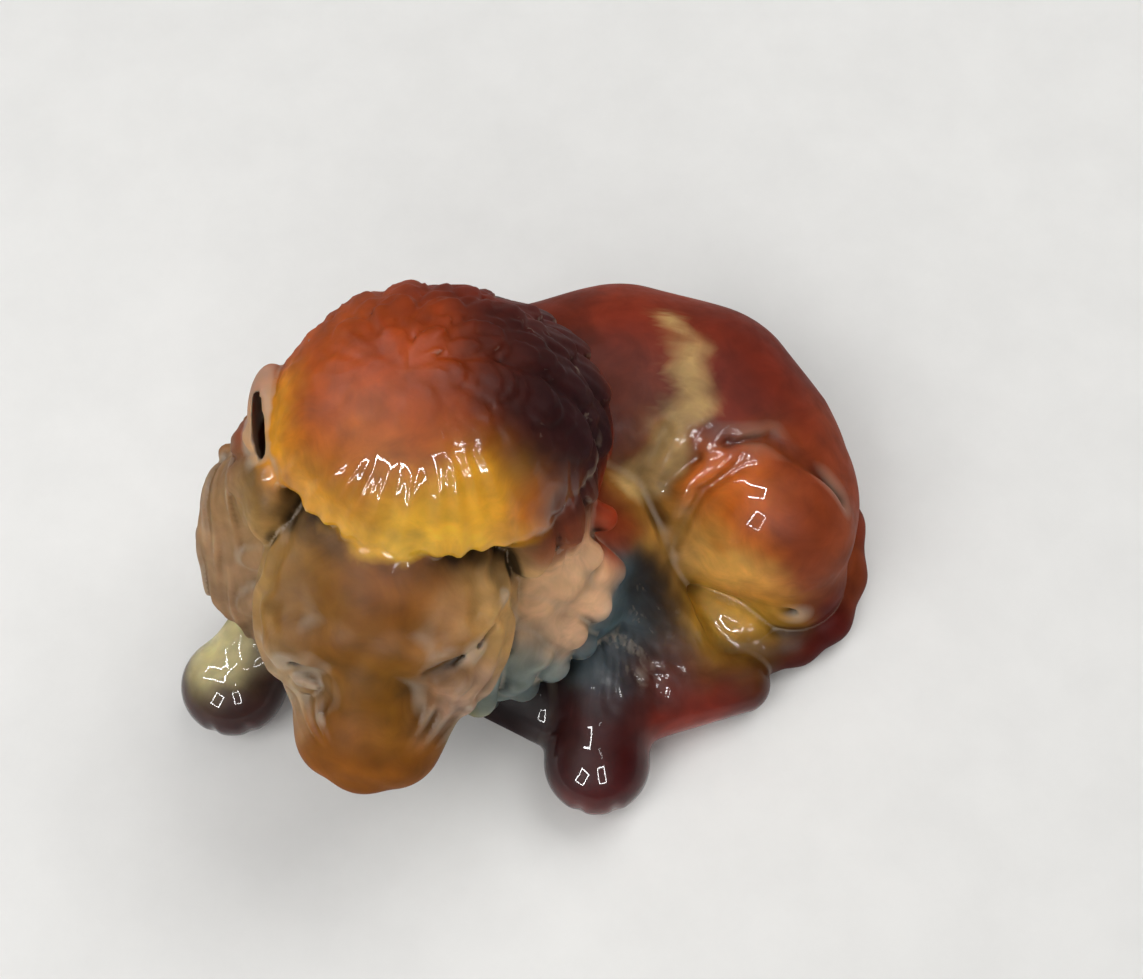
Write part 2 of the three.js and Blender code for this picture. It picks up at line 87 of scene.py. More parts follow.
# Mane: the crown that the hair grows from, the cap with its fringe, the ruff's rings and the beard
CROWN = (-14, -14, 80)
SMOOTH_CROWN = (-19, -23, 77)
LOCK_LENGTH = 7.4
SCALE_LENGTH = 4.3
CAP = (-12.8, -15.2, 58)
CAP_RADII = (24.8, 22.8, 21.5)
FRINGE_HEIGHT = 64.2
FRINGE_FRONT = -37.5
FRINGE_SLOPE = 0.14
FRINGE_TILT = 0.12
FLUTES_ROUND = 33
FLUTE_DEPTH = 0.36
SCALLOP_DEPTH = 0.07
RUFF_SPREAD = 112
RUFF_TILT = 30
RUFF_DRAWN_IN = 0.5
RUFF_MIDDLE = (-0.5, -8)
RUFF_SQUARENESS = 0.78
RUFF_RINGS = (
    {"radius": 21.5, "forward": 8, "length": 8, "thickness": 4.6, "count": 13},
    {"radius": 26.5, "forward": 4.6, "length": 7.5, "thickness": 4.6, "count": 15},
    {"radius": 30, "forward": 0, "length": 7, "thickness": 4.6, "count": 16},
    {"radius": 31.5, "forward": -6.5, "length": 7, "thickness": 4.2, "count": 16},
)
DRAPE = ((-21.5, -1, 6), (-26.8, -1, -7), (-28.2, 3, -14), (-26.8, 8, -20), (-24, 11, -27))
DRAPE_RADII = (4.6, 6.3, 6.4, 6, 5)
DRAPE_FOLD = 0.45
BEARD_LOCKS = 7
BEARD_ROWS = 3

# Forelegs: the paws, and the strands of hair over the folded one
PAW_RADII = (9.2, 8.9, 8.2)
LEFT_PAW = (13.4, -54, 7.4)
RIGHT_PAW = (-50.4, -40.2, 7.5)
ARM_STRANDS_FROM = (9, -21, 30)
ARM_STRANDS_ROUND = (30, 71)
STRAND_DEPTH = 0.42

# Camera: degrees, and millimetres from the figure
CAMERA_ELEVATION = 68
CAMERA_DISTANCE = 304
CAMERA_TARGET = (9, 0, 0)
CAMERA_LENS = 50.4

# Colours of the glass: the place and how far it reaches, in the field's millimetres, and the colour
COLOURS = (
    ("fringe right", (-3, -35.5, 67), 9, "F4AE28"),
    ("fringe middle", (-15, -37, 67), 9, "FFC83C"),
    ("fringe left", (-27, -32, 67), 9, "EEA828"),
    ("fringe end", (4, -31, 67), 5, "C85A14"),
    ("temple right", (-35, -25, 63), 5, "7E5C2C"),
    ("fringe corner", (-35, -17, 69), 6, "F0AC20"),
    ("cap front", (-20, -26, 76), 10, "B05A10"),
    ("cap left", (-32, -10, 70), 12, "B85008"),
    ("cap middle", (-15, -12, 79), 11, "A23E0C"),
    ("cap back left", (-26, 4, 68), 12, "96401C"),
    ("cap back", (-8, 6, 68), 11, "762614"),
    ("cap right", (2, -8, 74), 11, "32100F"),
    ("cap right edge", (9, -18, 68), 8, "2E0F12"),
    ("cap right front", (6, -25, 70), 6, "3A1010"),
    ("second tier", (13.5, -18.7, 56), 9, "2C0F16"),
    ("nape", (-2, 14, 56), 14, "341014"),
    ("third tier", (17, -17, 44), 8, "742816"),
    ("neck left", (14, 6, 40), 12, "74301A"),
    ("neck behind", (-14, 12, 40), 16, "54180F"),
    ("neck right", (-34, 2, 40), 14, "8A5028"),
    ("ear right", (-39, -13, 61), 4.5, "9A2A12"),
    ("ear rim", (-41.5, -14, 58), 5, "70401C"),
    ("ear left", (6, -26, 61), 4, "260808"),
    ("forehead", (-19, -41, 60), 11, "8A4C08"),
    ("forehead right", (-30, -38, 58), 8, "8C601C"),
    ("brows", (-20, -48, 52), 10, "845612"),
    ("cheek right", (-38, -34, 54), 9, "B08A50"),
    ("cheek folds", (-34, -48, 46), 6, "B89A74"),
    ("cheek left", (-1, -41, 52), 9, "C4985C"),
    ("cheek left folds", (-7, -52, 46), 6, "B4917A"),
    ("bridge", (-21, -56, 48), 8, "84540C"),
    ("muzzle", (-22, -62, 42), 9, "8C4E0A"),
    ("ruff right upper", (-44, -16, 52), 10, "A07A50"),
    ("ruff right lower", (-44, -36, 42), 12, "A88460"),
    ("ruff left top", (9, -29, 57), 6, "8A3A1A"),
    ("ruff left red", (15.5, -21, 44), 6, "B43C10"),
    ("ruff left upper", (10, -34, 46), 8, "F4C294"),
    ("ruff left lower", (8, -38, 40), 7, "E0B088"),
    ("beard top", (1, -45, 35), 6, "8A9086"),
    ("beard left", (14, -36, 25), 8, "5A6E74"),
    ("beard middle", (-2, -46, 27), 9, "76827E"),
    ("beard chin", (-10, -51, 27), 6, "A89A5C"),
    ("beard right", (-26, -42, 28), 10, "6C4A2C"),
    ("chest", (-4, -44, 6), 14, "1C0608"),
    ("right foreleg", (-38, -28, 12), 12, "300A0A"),
    ("right paw", (-52, -47, 7), 8, "340402"),
    ("right paw top", (-51, -35, 15), 5.4, "FFEFAC"),
    ("left shoulder", (17, -37, 19), 6, "30262A"),
    ("strands", (26, -37, 17), 7, "5A4A42"),
    ("black side", (23, -29, 25), 6, "120506"),
    ("forearm", (27, -42, 13), 7, "581C12"),
    ("elbow", (38, -40, 7), 8, "5E120C"),
    ("forearm low", (30, -46, 8), 6, "96260A"),
    ("left paw", (13.4, -56, 6), 9, "400402"),
    ("left toes", (12, -61, 5), 5, "741A04"),
    ("left wrist", (13, -46, 12), 7, "3C0C0A"),
    ("shoulders", (8, 24, 36), 14, "74260F"),
    ("back", (22, 24, 34), 12, "8E341C"),
    ("back right", (44, 14, 32), 14, "722615"),
    ("rump", (58, -4, 26), 12, "8A3A1E"),
    ("loin", (18, 12, 42), 7, "94301C"),
    ("loin behind", (38, 6, 40), 8, "742412"),
    ("flank", (23, -7, 36), 5, "8A5020"),
    ("flank low", (20, -13, 31), 6, "9C6A2C"),
    ("thigh front", (30, -20, 29), 6, "D49A44"),
    ("thigh", (36, -17, 36), 7, "DC6C04"),
    ("haunch", (46, -17, 38), 9, "8C3A18"),
    ("haunch back", (54, -22, 28), 9, "8E4222"),
    ("knee", (36, -26, 25), 6, "FFC462"),
    ("knee front", (29, -22, 25), 5, "D8A458"),
    ("shank", (38, -26, 20), 7, "BE7430"),
    ("hind paw", (35, -28.5, 11), 8, "FFC848"),
    # Painted shade: near-black colour in the hollow under the thigh and at the hollow's end
    ("hollow", (27, -32, 17), 5, "0C0303"),
    ("hollow end", (42, -37, 8), 5, "140404"),
    ("tail", (58, -26, 6), 9, "520A06"),
    ("tail side", (58, -21.5, 9), 5, "9A4A20"),
    ("tail tip", (40, -34, 6), 8, "40090A"),
    ("rear low", (48, 20, 10), 18, "50140F"),
    ("far side", (8, 34, 12), 20, "54160F"),
    ("far shoulder", (-30, 10, 16), 16, "44100D"),
)

# The cap's colours stay above its fringe and the face's stay below it
ABOVE_FRINGE = ("cap", "fringe")
BELOW_FRINGE = ("forehead", "temple", "cheek")

# Swirls that shift the colours: their size and how far they shift, in millimetres, and their seed
SWIRLS = ((16, 1.6, 1), (6, 0.6, 11))

# The pale streak across the waist: its path, how wide it is, and its colour
STREAK = ((26.5, 13, 41), (28.4, 4.5, 42), (28.7, -0.6, 41), (25, -6.4, 38), (21.4, -11.3, 32.2))
STREAK_WIDTHS = (0.4, 0.8, 1.4, 2.2, 3)
STREAK_COLOUR = "C8A468"

# Painted sheen: a pale colour mixed into the glass on its thin edges, standing in for the pale room's
# reflection at grazing angles
PAINTED_SHEEN = (0.55, 0.45, 0.34, 1.0)

# How far under and over the surface the folds and the thin edges are felt for
FOLD_REACH = 2.2
EDGE_REACH = 1.6

# Places where the glass is polished rather than satin: the place and how far it reaches
POLISHED = (
    ("haunch", (33, -14, 37), 12),
    ("left paw", (13.4, -53, 10), 16),
    ("elbow", (32, -40, 7), 16),
    ("right paw", (-50, -42, 5), 16),
    ("hind paw", (34, -28, 10), 9),
)

# Stage, in metres: the floor, and where the lights aim, each from a metre away
FLOOR_HALF = 3.0
FLOOR_COLOUR = (0.78, 0.772, 0.75, 1.0)
LIGHTS_AIM = (0, 0, 0.03)
WINDOW_BAR = 0.08
WINDOW_GLOW = 110


def vec(*values):
    return np.array(values, np.float32)


def clamp(x, low, high):
    return np.minimum(np.maximum(x, low), high)


def ease(x, low, high):
    """0 below low, 1 above high, and smooth between."""
    t = clamp((x - low) / (high - low), 0, 1)
    return t * t * (3 - 2 * t)


def length(offsets):
    return np.sqrt((offsets * offsets).sum(1))


def blend(a, b, width):
    """Smooth union of two distances."""
    h = clamp(0.5 + 0.5 * (b - a) / width, 0, 1)
    return b + (a - b) * h - width * h * (1 - h)


def carve(a, b, width):
    """The first distance with the second cut out of it."""
    return -blend(-a, b, width)


def turned(yaw=0, pitch=0, roll=0):
    y, p, r = np.radians([yaw, pitch, roll])
    about_z = np.array([[np.cos(y), -np.sin(y), 0], [np.sin(y), np.cos(y), 0], [0, 0, 1]])
    about_x = np.array([[1, 0, 0], [0, np.cos(p), -np.sin(p)], [0, np.sin(p), np.cos(p)]])
    about_y = np.array([[np.cos(r), 0, np.sin(r)], [0, 1, 0], [-np.sin(r), 0, np.cos(r)]])
    return (about_z @ about_x @ about_y).astype(np.float32)


def ball(p, centre, radii, *turn):
    """Distance to an ellipsoid, turned by yaw, pitch and roll."""
    q = p - vec(*centre)
    if turn:
        q = q @ turned(*turn)
    near = q / vec(*radii)
    reach = length(near)
    slope = length(near / vec(*radii))
    return reach * (reach - 1) / np.maximum(slope, 1e-6)


def limb(p, start, end, start_radius, end_radius):
    """Distance to a tapering rod with round ends."""
    start = vec(*start)
    along = vec(*end) - start
    offset = p - start
    t = clamp(offset @ along / (along @ along), 0, 1)
    return length(offset - t[:, None] * along) - start_radius - (end_radius - start_radius) * t


def joined(distances, width):
    total = distances[0]
    for distance in distances[1:]:
        total = blend(total, distance, width)
    return total


def chain(p, points, radii, width):
    """Rods in a row through the points, run together."""
    rods = zip(points, points[1:], radii, radii[1:])
    return joined([limb(p, start, end, a, b) for start, end, a, b in rods], width)


def shingles(row, turn_round, first, step):
    """Height 0 to 1 of rounded locks that overlap like tiles, and the strands in them."""
    height = np.zeros_like(row)
    strands = np.zeros_like(row)
    for behind in (0, 1):
        index = np.floor(row) - behind
        along = row - index
        column = turn_round * np.round(first + step * index) + 0.5 * np.abs(index % 2) + 0.37 * index
        across = 2 * (column - np.round(column))
        tip = 1.42 - 0.62 * across ** 2
        body = ease(tip - along, 0, 0.16)
        lock = body * (0.3 + 0.7 * np.minimum(along, 1.3) / 1.3) * (1 - 0.6 * np.abs(across) ** 3)
        higher = lock > height
        strands = np.where(higher, np.cos(across * 9.5) * body, strands)
        height = np.where(higher, lock, height)
    return height, strands


def head_frame(p):
    """The point seen from the head: across to the lion's left, forward along the nose, and up."""
    q = (p - vec(*HEAD)) @ turned(HEAD_TURN)
    q[:, 1] *= -1
    return q


def face_frame(q):
    """The point seen from the face: across, down the face from the hairline, and out of it."""
    cos, sin = np.cos(np.radians(FACE_SLOPE)), np.sin(np.radians(FACE_SLOPE))
    forward = q[:, 1] - HAIRLINE[0]
    up = q[:, 2] - HAIRLINE[1]
    return np.stack([q[:, 0], forward * cos - up * sin, forward * sin + up * cos], 1).astype(np.float32)


def mirrored(p, middle=0):
    out = p.copy()
    out[:, 0] = np.abs(out[:, 0] - middle)
    return out


def trunk(p):
    points = [(-2, 3, 22), (17.5, 8.2, 21.3), (30.5, 5, 21.2), (38.6, -4.3, 20.2), (44, -11, 18.5)]
    belly = limb(p, (8, -9, 7), (38, -9, 7), 9, 9)
    return blend(chain(p, points, [21, 20, 19.5, 18.1, 15.6], 5), belly, 3)


def hind_leg(body, p):
    thigh = ball(p, (43, -15.2, 21.5), (15.3, 12.8, 17.6), -25)
    knee = limb(p, (38, -15.5, 19), (24.2, -15.6, 17.5), 10.5, 7.8)
    heel = ball(p, (48.3, -21.2, 12), (9.6, 9.6, 10.4))
    leg = blend(blend(thigh, knee, 3), heel, 2.5)
    far_leg = ball(p, (33, 15, 13), (15, 12.5, 13.5), 15)
    out = blend(blend(body, far_leg, 2.5), leg, 1.6)
    crease = chain(p, THIGH_CREASE, np.full(len(THIGH_CREASE), CREASE_RADIUS), 1)
    out = carve(out, crease, CREASE_WIDTH)
    folds = joined([chain(p, path, radii, 1) for path, radii in WAIST_FOLDS], 0.2)
    out = carve(out, folds, FOLD_WIDTH)
    notch = limb(p, (43.5, -31, 17), (48, -28.5, 15.5), 0.2, 0.3)
    out = carve(out, notch, 2.6)
    shank = limb(p, (36, -18, 7), (49, -25, 7), 7.5, 5.5)
    paw = limb(p, (30.5, -22.6, 7.2), (40.5, -28.4, 6.8), 4.4, 5)
    return blend(out, blend(shank, paw, 1), 1)


def tail(p):
    return chain(p, TAIL, np.linspace(*TAIL_RADII, len(TAIL)), 1.5)


def toe_grooves(p, paw):
    grooves = []
    for share in (-0.36, 0.36):
        x = paw[0] + share * PAW_RADII[0]
        y = paw[1] - PAW_RADII[1]
        grooves.append(limb(p, (x, y, 2), (x, y + 0.5, paw[2] + 5), 0.8, 0.5))
    return joined(grooves, 0.3)


def arm_hair(p):
    """Strands that fan down from the shoulder over the folded foreleg."""
    fan = p - vec(*ARM_STRANDS_FROM)
    coarse, fine = ARM_STRANDS_ROUND
    bearing = np.arctan2(fan[:, 1], fan[:, 0])
    reach = length(fan[:, :2])
    curl = 0.06 * np.sin(reach * 0.45 + 5 * bearing)
    strands = 0.6 * np.cos((bearing + curl) * coarse) + 0.4 * np.cos((bearing - curl) * fine)
    strands *= ease(reach, 9, 14) * ease(-reach, -31, -22) * ease(p[:, 2], 5, 9)
    return strands * ease(bearing, -1.55, -1.25) * ease(-bearing, 0.25, 0.6)


def forelegs(p):
    upper = limb(p, (10, -16, 24), (27, -36, 9), 13, 7)
    forearm = limb(p, (39, -39.6, 6.2), (17, -44, 8), 5.2, 7.6)
    wrist = limb(p, (14, -36, 12), (13.6, -50, 8.2), 8, 7.8)
    wrist = blend(wrist, ball(p, LEFT_PAW, PAW_RADII), 2.5)
    left = blend(blend(upper, forearm, 4), wrist, 3) - STRAND_DEPTH * arm_hair(p)
    right = limb(p, (-24, -12, 19), (-45, -33, 9), 12, 8)
    right = blend(right, ball(p, RIGHT_PAW, PAW_RADII), 3)
    grooves = np.minimum(toe_grooves(p, LEFT_PAW), toe_grooves(p, RIGHT_PAW))
    return carve(blend(left, right, 2), grooves, 1.2)


def chest(p):
    low = limb(p, (-20, -28, 9), (5, -43.5, 6), 10, 7)
    flank = limb(p, (14, -22, 8), (35, -31, 4.5), 9, 4.6)
    return blend(blend(ball(p, (-6, -16, 22), (24, 24, 25)), low, 5), flank, 2)


def cheek_hair(f, s):
    """Ridges of short hair down the cheeks."""
    side = ease(s[:, 0], 12.2, 15.5) * ease(s[:, 1], -6, 0) * ease(-s[:, 1], -30, -24)
    about = np.arctan2(s[:, 0], f[:, 2] + 22)
    about = about + 0.05 * np.sin(0.35 * s[:, 1]) + 0.03 * np.sin(0.9 * s[:, 1])
    return 0.4 * side * np.cos(about * 30)


def features(f):
    """The face's two halves laid on each other: the eyes stand level although the head is turned."""
    out = mirrored(f, FACE_MIDDLE)
    out[:, 1] += FACE_SKEW * (f[:, 0] - FACE_MIDDLE) * ease(-f[:, 1], -34, -24)
    return out


def wrinkles(e):
    """Fine folds that run from under the brow down to the side of the muzzle."""
    bearing = np.arctan2(e[:, 0] - 3, 37 - e[:, 1])
    reach = np.hypot(e[:, 0] - 3, 37 - e[:, 1])
    share = ease(reach, 5, 9) * ease(-reach, -21, -16)
    share = share * ease(bearing, 0.3, 0.5) * ease(-bearing, -1.15, -0.9)
    return 0.32 * share * np.cos(bearing * 24 + 0.7 * np.sin(0.5 * reach) + 0.15 * reach)


def eye_and_brow(head, e):
    """A closed, drooping brow fold, with a soft hollow and the folds of the lids under it."""
    brow = [(16.6, 10.6, -8.4), (13.6, 13.4, -4), (10.2, 16, -2), (7.4, 17.6, -2.6)]
    head = blend(head, chain(e, brow, [0.6, 1.7, 1.6, 0.8], 1), 1.8)
    head = carve(head, ball(e, (EYE_SPACING + 1.2, 20.6, -0.4), (4.8, 3, 1.3), -28), 1.6)
    head = blend(head, ball(e, (EYE_SPACING + 0.8, 20.8, -5.9), (EYE_RADIUS,) * 3), 1)
    crease = [(17.8, 12, -7.6), (14, 15.9, -3.2), (10.4, 18.2, -1.5), (7.6, 19.4, -1.2)]
    head = carve(head, chain(e, crease, [0.2, 0.5, 0.6, 0.4], 1), 0.9)
    lid = [(15, 17.4, -4.4), (12, 20, -2.9), (9, 21.3, -2.2)]
    head = blend(head, chain(e, lid, [0.3, 0.7, 0.5], 0.6), 0.8)
    beside = [(7.8, 19.4, -1), (7.2, 23, -1.4), (8, 28, -2.6)]
    return carve(head, chain(e, beside, [0.3, 0.5, 0.1], 0.6), 1)


def skull(f):
    s = mirrored(f)
    head = ball(s, (0, 6, -16), (18, 17, 17))
    head = blend(head, ball(s, (0, 19, -7.5), (8, 20, 8.3)), 4)
    head = blend(head, ball(s, (12.4, 14, -12.5), (7, 14, 12)), 4)
    head = blend(head, limb(s, (4, 14.6, -2.9), (12.4, 17, -4.9), 4, 3.4), 2)
    head = blend(head, ball(s, (0, 32, -10), (11.6, 10.5, 10)), 3)
    head = blend(head, ball(s, (5, 35.2, -11), (6.4, 6.6, 8.5)), 2)
    head = blend(head, ball(s, (0, 28, -22), (8, 8, 6.5)), 2.5)
    head = blend(head, limb(s, (12, 15, -12), (7.2, 30, -12.4), 7.4, 5.4), 3)
    e = features(f)
    head = eye_and_brow(head - cheek_hair(f, s) - wrinkles(e), e)
    head = blend(head, ball(s, (0, 39, -6.2), (5, 3.4, 3.6)), 1.2)
    head = carve(head, ball(s, (2.7, 42.2, -7.4), (1.5, 1.6, 1.1)), 0.6)
    mouth_path = [(0, 43, -10), (0, 42.2, -14.6), (3.6, 41, -17.6), (7.4, 37, -18.8), (10.2, 30.5, -18)]
    return carve(head, chain(s, mouth_path, [0.6, 0.7, 0.8, 0.8, 0.6], 0.5), 0.9)


def ears(hair, q):
    """Two small ears half under the cap: each a flap with a hollow in front of it."""
    out = hair
    for side, forward, up, hollow_radii in EARS:
        middle = (side * EAR_SPACING, forward, up)
        hollow = (side * (EAR_SPACING + 0.8), forward + 1.6, up + 2)
        out = blend(out, ball(q, middle, EAR_RADII, side * EAR_YAW), 1)
        out = carve(out, ball(q, hollow, hollow_radii, side * EAR_YAW), 0.6)
    return out


def ring_lock(q, ring, share):
    """One lock of a ruff ring, which leans outward and down."""
    angle = np.radians(RUFF_SPREAD * (2 * share - 1))
    tilt = np.radians(RUFF_TILT)
    down = np.cos(angle)
    if down > 0:
        down **= RUFF_SQUARENESS
    outward = np.array([np.sin(angle), down * np.sin(tilt), -down * np.cos(tilt)])
    drawn_in = 1 - RUFF_DRAWN_IN * max(abs(2 * share - 1) * RUFF_SPREAD / 90 - 0.85, 0)
    middle = np.array([RUFF_MIDDLE[0], ring["forward"], RUFF_MIDDLE[1]])
    middle = middle + outward * ring["radius"] * drawn_in
    lean = outward + np.array([0, 0.1, -0.45])
    lean *= ring["length"] / 2 / np.linalg.norm(lean)
    at_end = 1 - 0.3 * ease(abs(2 * share - 1), 0.7, 1)
    under_drape = 1 - 0.3 * ease(-angle, 0.5, 1)
    thickness = ring["thickness"] * at_end * under_drape
    return limb(q, middle - lean, middle + lean, 0.85 * thickness, 0.62 * thickness)


def near_only(base, reach, width, locks_at, points):
    """The base with its locks, which are worked out only within reach of it."""
    out = base - 4
    close = np.nonzero(base < reach)[0]
    if len(close):
        out[close] = blend(base[close], locks_at(points[close]), width)
    return out


def drape(q):
    """Hair that hangs in long folds down the side of the ruff that is turned away."""
    across, up = q[:, 0], q[:, 2]
    folds = 0.6 * np.cos(1.9 * across + 0.9 * np.sin(0.3 * up)) + 0.4 * np.cos(3.1 * across + 0.25 * up)
    return chain(q, DRAPE, DRAPE_RADII, 3) - DRAPE_FOLD * folds


def ruff(q):
    collar = ball(q, (0, 0.5, -8), (29, 10.5, 30), 0, RUFF_TILT, 0)
    collar = blend(collar, ball(q, (-0.5, -7, -10), (28.5, 11, 29), 0, RUFF_TILT, 0), 3)

    def locks_at(close):
        rings = []
        for ring in RUFF_RINGS:
            shares = np.linspace(0, 1, ring["count"])
            rings.append(joined([ring_lock(close, ring, share) for share in shares], 3.6))
        return joined(rings, 1)

    return blend(near_only(collar, 12, 2.4, locks_at, q), drape(q), 2)


def beard(p):
    def locks_at(close):
        locks = []
        for row in range(BEARD_ROWS):
            for column in range(BEARD_LOCKS):
                t = (column + 0.5 * (row % 2)) / (BEARD_LOCKS - 0.5)
                x = -24 + 39 * t
                y = -44 - 4.5 * np.sin(np.pi * t) + 14 * max(t - 0.45, 0) / 0.55 + 2.5 * row
                top = 36 - 6.5 * row
                tip = (x + t - 0.4, y - 0.5, top - 5.5)
                locks.append(limb(close, (x - 0.5, y + 4, top), tip, 4.6, 3))
        return joined(locks, 1.6)

    return near_only(limb(p, (-20, -32, 25), (9, -27, 25), 12, 10.5), 14, 3, locks_at, p)


def hair_flow(p):
    """The distance from the crown that the hair grows from, and the slightly swirled bearing round it."""
    d = p - vec(*CROWN)
    from_crown = np.sqrt(d[:, 0] ** 2 + d[:, 1] ** 2 + 0.81 * d[:, 2] ** 2)
    return from_crown, np.arctan2(d[:, 1], d[:, 0]) + 0.012 * from_crown


def above_fringe(p):
    """Height above the sloping plane that the cap's fringe is cut along."""
    rise = FRINGE_SLOPE * (p[:, 1] - FRINGE_FRONT) + FRINGE_TILT * (p[:, 0] - CAP[0])
    return p[:, 2] - FRINGE_HEIGHT + rise


def cap(p, flute):
    """The cap of hair, cut away below its scalloped fringe so that it overhangs the forehead."""
    return carve(ball(p, CAP, CAP_RADII), SCALLOP_DEPTH * flute + above_fringe(p), 2)


def flutes(swirl):
    """Uneven ridges that run down from the crown."""
    return 0.6 * np.cos(swirl * FLUTES_ROUND + 1.6 * np.sin(swirl * 7)) + 0.4 * np.cos(swirl * 19)


def mane(p, q):
    from_crown, swirl = hair_flow(p)
    hair, strands = shingles(from_crown / LOCK_LENGTH + 0.2, swirl / (2 * np.pi), 6, 4)
    neck = ball(p, (-7, -8, 40), (20, 20, 26), 20, 0, 10)
    neck = blend(neck, ball(p, (-9, -10, 52), (23, 19, 20)), 4)
    neck = blend(neck, ball(mirrored(q, 0.5), (19.5, -5, 1), (7.5, 10, 13)), 3)
    brow_side = ball(q, (-17.4, 1.5, 5.5), (5.4, 8, 10), 8)
    neck = neck - (2 * hair + 0.12 * strands) * ease(p[:, 2], 8, 24)
    behind = ease(0.8 * p[:, 0] + p[:, 1], -32, -12)
    front = ease(-p[:, 1], 18, 30) * ease(from_crown, 12, 20)
    flute = flutes(swirl)
    rows = from_crown / SCALE_LENGTH + 0.3 * np.sin(9 * swirl)
    scales, _ = shingles(rows, swirl / (2 * np.pi), 9, 3)
    locks = (0.35 + behind) * hair + (0.2 + 0.5 * behind) * scales + 0.08 * strands
    locks *= ease(length(p - vec(*SMOOTH_CROWN)), 6, 18) * (1 - front)
    haired_cap = cap(p, flute) - locks - FLUTE_DEPTH * flute * front
    return blend(blend(neck, brow_side, 3), haired_cap, 0.8)


def figure(p):
    """The whole figure's distance at each point, less than zero inside the glass."""
    p = p.astype(np.float32)
    q = head_frame(p)
    body = blend(hind_leg(trunk(p), p), tail(p), 0.8)
    front = blend(forelegs(p), chest(p), 3)
    hair = blend(mane(p, q), ruff(q), 1.2)
    hair = blend(ears(hair, q), beard(p), 1.2)
    whole = blend(blend(body, front, 2), hair, 1.5)
    return blend(whole, skull(face_frame(q)), 0.8)


def sampled(distance, cell):
    """The field on a grid: finely near the surface, and one value a block elsewhere."""
    low = np.array(LOW_CORNER, np.float32)
    blocks = np.ceil((np.array(HIGH_CORNER) - low) / (cell * BLOCK)).astype(int)
    index = np.indices(blocks).reshape(3, -1).T
    values = distance(low + cell * (index * BLOCK + (BLOCK - 1) / 2))
    field = np.empty(tuple(blocks * BLOCK), np.float32)
    tiles = field.reshape(blocks[0], BLOCK, blocks[1], BLOCK, blocks[2], BLOCK)
    tiles = tiles.transpose(0, 2, 4, 1, 3, 5)
    tiles[tuple(index.T)] = values[:, None, None, None]
    inner = np.indices((BLOCK,) * 3).reshape(3, -1).T
    near = index[np.abs(values) < 0.87 * BLOCK * cell + RELIEF_REACH]
    for start in range(0, len(near), BLOCKS_AT_ONCE):
        part = near[start:start + BLOCKS_AT_ONCE]
        points = low + cell * (part[:, None] * BLOCK + inner).reshape(-1, 3)
        tiles[tuple(part.T)] = distance(points).reshape(-1, BLOCK, BLOCK, BLOCK)
    return field, low


def outer_shell(points, faces):
    """The faces of the largest separate shell, because the glass has no bubbles and no crumbs."""
    label = np.arange(len(points))
    while True:
        new = label.copy()
        lowest = label[faces].min(1)
        for corner in faces.T:
            np.minimum.at(new, corner, lowest)
        new = new[new]
        if np.array_equal(new, label):
            break
        label = new
    return faces[label[faces[:, 0]] == np.bincount(label).argmax()]


def surface(cell):
    """Points and four-sided faces of the surface, in the field's millimetres."""
    field, low = sampled(figure, cell)
    grid = openvdb.FloatGrid(float(4 * cell))
    grid.copyFromArray(field)
    points, _, quads = grid.convertToPolygons(isovalue=0.0, adaptivity=0.0)
    points = points * cell + low
    quads = outer_shell(points, quads.astype(np.int64))
    used, quads = np.unique(quads, return_inverse=True)
    points = points[used]
    points[:, 2] = np.maximum(points[:, 2], GROUND_AWAY)
    return points, quads.reshape(-1, 4)


def thinned(piece, triangles):
    """The piece's mesh with fewer faces, thinned most where it is flat."""
    thin = piece.modifiers.new("thin", "DECIMATE")
    thin.ratio = min(1, triangles / (2 * len(piece.data.polygons)))
    whole = piece.data
    seen = piece.evaluated_get(bpy.context.evaluated_depsgraph_get())
    piece.data = bpy.data.meshes.new_from_object(seen)
    piece.modifiers.clear()
    bpy.data.meshes.remove(whole)


def linear(code):
    """A colour written as six hexadecimal digits, in linear light."""
    value = np.array([int(code[i:i + 2], 16) / 255 for i in (0, 2, 4)])
    return np.where(value < 0.04045, value / 12.92, ((value + 0.055) / 1.055) ** 2.4)


def waves(p, size, seed):
    """Smooth random numbers from about -1 to 1 that change over a size in millimetres."""
    random = np.random.default_rng(seed)
    total = np.zeros(len(p))
    for _ in range(7):
        heading = random.normal(size=3)
        along = p @ (heading / np.linalg.norm(heading))
        total += np.sin(along * (2 * np.pi / size) * random.uniform(0.6, 1.6) + random.uniform(0, 2 * np.pi))
    return total / 3


def painted(p):
    """The glass's colour at each point: named colours that run into each other in swirls, with a painted
    shadow under the cap's fringe.
    """
    warp = np.zeros((len(p), 3))
    for size, shift, seed in SWIRLS:
        warp += np.stack([waves(p, size, seed + axis) for axis in range(3)], 1) * shift
    moved = p + warp
    colour = np.zeros((len(p), 3))
    weight = np.full((len(p), 1), 1e-12)
    over_fringe = ease(above_fringe(moved), -1.5, 0.5)
    for name, place, reach, code in COLOURS:
        share = np.exp(-3.2 * (length(moved - np.array(place)) / (1.6 * reach)) ** 2)[:, None]
        if name.startswith(ABOVE_FRINGE):
            share *= over_fringe[:, None]
        elif name.startswith(BELOW_FRINGE):
            share *= 1 - over_fringe[:, None]
        colour += share * linear(code)
        weight += share
    colour /= weight
    streak = 0.85 * (1 - ease(chain(moved, STREAK, STREAK_WIDTHS, 1), 0, 3.4)[:, None])
    colour += streak * (linear(STREAK_COLOUR) - colour)
    mottle = 1 + 0.12 * waves(p, 9, 21) + 0.07 * waves(p, 3.5, 22)
    mottled = clamp(colour * mottle[:, None], 0, 1)
    near_cap = 1 - ease(ball(p, CAP, CAP_RADII), 0.5, 3)
    # Painted shadow: the colour is darkened just under the overhanging fringe of the cap
    fringe_shadow = near_cap * (1 - ease(above_fringe(p), -0.7, 0.5)) * ease(-p[:, 1], 22, 28)
    return mottled * (1 - 0.4 * fringe_shadow)[:, None]


